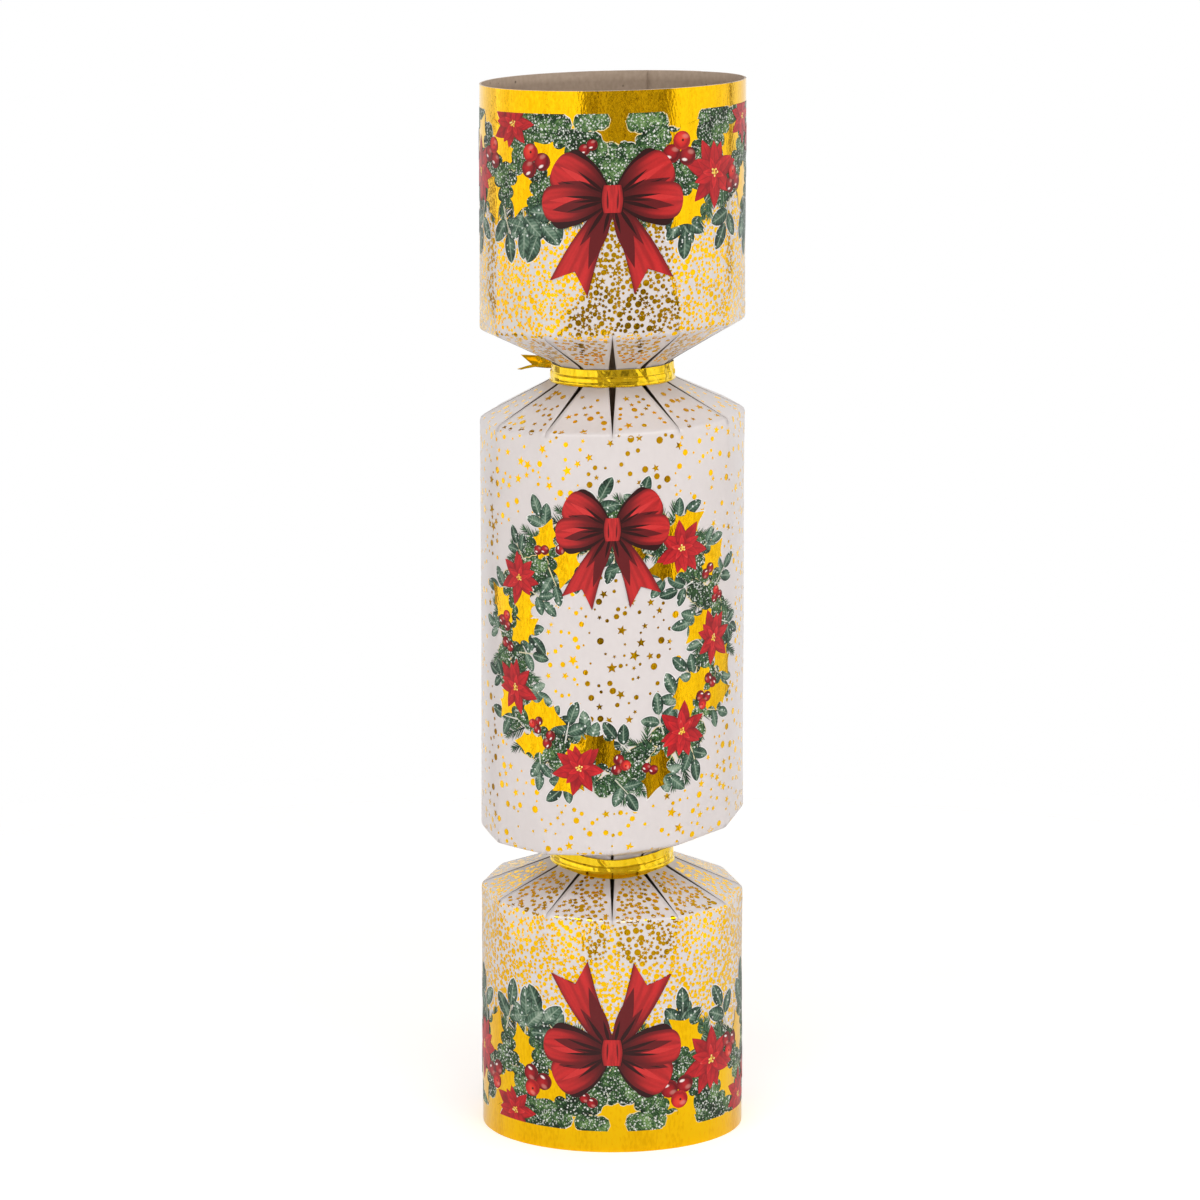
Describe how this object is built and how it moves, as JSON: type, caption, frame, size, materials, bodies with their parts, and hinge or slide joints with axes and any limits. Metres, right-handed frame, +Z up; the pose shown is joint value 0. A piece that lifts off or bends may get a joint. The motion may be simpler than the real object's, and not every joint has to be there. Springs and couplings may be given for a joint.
{
  "type": "christmas cracker",
  "caption": "Christmas cracker: a printed card tube choked by foil ties, with end sleeves that pull off and a snap, rolled paper hat, motto and spinning top inside.",
  "frame": {"origin": "centre of the lower rim, on the surface that the cracker stands on", "axes": "+Z up the axis of the tube, printed front towards -Y, +X to the right seen from the front"},
  "size_m": [0.052, 0.052, 0.208],
  "materials": {
    "printed_card": "satin",
    "gold_foil_ribbon": "gloss",
    "snap_card": "matte",
    "snap_priming": "matte",
    "snap_grit": "matte",
    "guard_paper": "matte",
    "hot_glue": "satin",
    "tissue": "matte",
    "band_paper": "matte",
    "motto_paper": "matte",
    "turned_wood": "satin",
    "spindle_wood": "satin"
  },
  "bodies": {
    "barrel": {"barrel_wrap": "printed_card", "upper_tie_ribbon": "gold_foil_ribbon", "lower_tie_ribbon": "gold_foil_ribbon"},
    "upper_end": {"upper_end_sleeve": "printed_card", "snap_upper_strip": "snap_card", "snap_charge_patch": "snap_priming", "upper_glue_dab": "hot_glue"},
    "lower_end": {"lower_end_sleeve": "printed_card", "snap_lower_strip": "snap_card", "snap_grit_patch": "snap_grit", "snap_guard_sleeve": "guard_paper", "lower_glue_dab": "hot_glue"},
    "hat": {"paper_hat": "tissue", "hat_band": "band_paper", "motto_slip": "motto_paper"},
    "spinning_top": {"top_body": "turned_wood", "top_spindle": "spindle_wood"}
  },
  "joints": [
    {"name": "upper_end_pull", "type": "slide", "parent": "barrel", "child": "upper_end", "axis": [0, 0, 1], "range_m": [0, 0.09]},
    {"name": "lower_end_pull", "type": "slide", "parent": "lower_end", "child": "barrel", "axis": [0, 0, 1], "range_m": [0, 0.09]},
    {"name": "hat_rattle", "type": "slide", "parent": "barrel", "child": "hat", "axis": [0, 0, 1], "range_m": [0, 0.033]},
    {"name": "top_rattle", "type": "slide", "parent": "barrel", "child": "spinning_top", "axis": [0, 0, 1], "range_m": [0, 0.056]}
  ]
}
